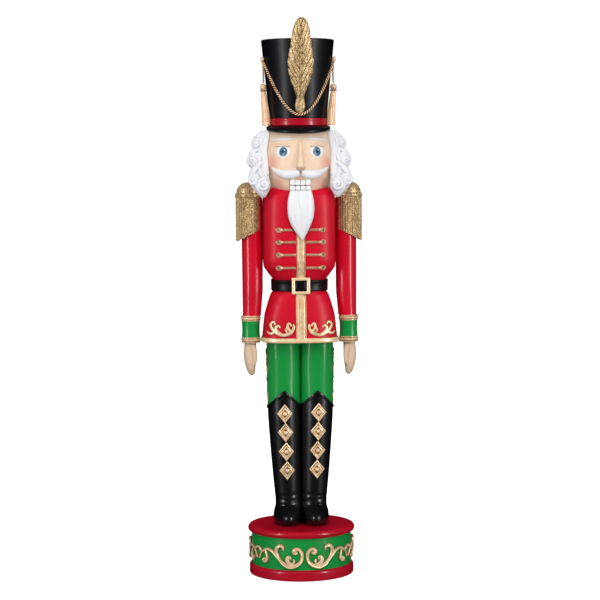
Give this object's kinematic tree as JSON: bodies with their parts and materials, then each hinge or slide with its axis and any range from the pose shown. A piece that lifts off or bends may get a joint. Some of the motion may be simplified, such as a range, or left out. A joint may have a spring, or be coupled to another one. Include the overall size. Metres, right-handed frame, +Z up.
{
  "type": "nutcracker figure",
  "caption": "Standing nutcracker soldier on a round drum base, with a lever-worked jaw, swinging arms and a tall plumed hat.",
  "frame": {"origin": "centre of the base's underside", "axes": "+Z up, -Y the way the figure faces, +X the figure's own left"},
  "size_m": [0.2106, 0.1772, 0.9122],
  "materials": {
    "red_lacquer": "glossy red lacquer on turned wood",
    "green_lacquer": "glossy green lacquer on turned wood",
    "black_lacquer": "glossy black lacquer on turned wood",
    "flesh_paint": "satin flesh-coloured paint on turned wood",
    "bare_wood": "bare dowel",
    "antique_gold": "cast resin, gold paint with brown in the recesses",
    "glitter_gold": "cast resin, gold glitter",
    "white_resin": "cast resin, white paint with grey in the recesses",
    "flesh_resin": "cast resin, satin flesh paint",
    "pin_brass": "plain round rod"
  },
  "bodies": {
    "figure": {"base_foot_moulding": "red_lacquer", "base_drum": "green_lacquer", "base_top_cap": "red_lacquer", "base_scrollwork": "antique_gold", "right_boot": "black_lacquer", "left_boot": "black_lacquer", "boot_diamonds": "antique_gold", "boot_studs": "antique_gold", "right_trouser_leg": "green_lacquer", "left_trouser_leg": "green_lacquer", "trouser_side_trims": "antique_gold", "leg_dowels": "bare_wood", "coat_skirt": "red_lacquer", "coat_chest": "red_lacquer", "waist_dowel": "bare_wood", "hem_band": "antique_gold", "skirt_placket": "antique_gold", "chest_placket": "antique_gold", "skirt_scrolls": "antique_gold", "coat_frogging": "antique_gold", "belt": "black_lacquer", "belt_buckle": "antique_gold", "head_block": "flesh_paint", "neck_dowels": "bare_wood", "nose": "flesh_paint", "eyes": "white_resin", "eyebrows": "white_resin", "moustache": "white_resin", "upper_teeth": "white_resin", "hair_back": "white_resin", "right_hair_curls": "white_resin", "left_hair_curls": "white_resin", "hat_brim": "black_lacquer", "hat_crown": "black_lacquer", "hat_band": "red_lacquer", "hat_dowel": "bare_wood", "hat_feather": "glitter_gold", "hat_cord": "antique_gold", "right_tassel": "antique_gold", "left_tassel": "antique_gold", "jaw_pin": "pin_brass"},
    "jaw": {"jaw_lever": "black_lacquer", "lower_teeth": "white_resin", "beard": "white_resin"},
    "right_arm": {"right_sleeve": "red_lacquer", "right_cuff": "green_lacquer", "right_cuff_rings": "antique_gold", "right_hand": "flesh_resin", "right_epaulette_cap": "glitter_gold", "right_epaulette_fringe": "glitter_gold", "right_shoulder_pin": "bare_wood"},
    "left_arm": {"left_sleeve": "red_lacquer", "left_cuff": "green_lacquer", "left_cuff_rings": "antique_gold", "left_hand": "flesh_resin", "left_epaulette_cap": "glitter_gold", "left_epaulette_fringe": "glitter_gold", "left_shoulder_pin": "bare_wood"}
  },
  "joints": [
    {"name": "jaw_hinge", "type": "hinge", "parent": "figure", "child": "jaw", "pos_m": [0, -0.004, 0.556], "axis": [1, 0, 0], "range_deg": [0, 12]},
    {"name": "right_shoulder", "type": "hinge", "parent": "figure", "child": "right_arm", "pos_m": [-0.0773, 0, 0.612], "axis": [1, 0, 0], "range_deg": [-90, 15]},
    {"name": "left_shoulder", "type": "hinge", "parent": "figure", "child": "left_arm", "pos_m": [0.0773, 0, 0.612], "axis": [1, 0, 0], "range_deg": [-90, 15]}
  ]
}
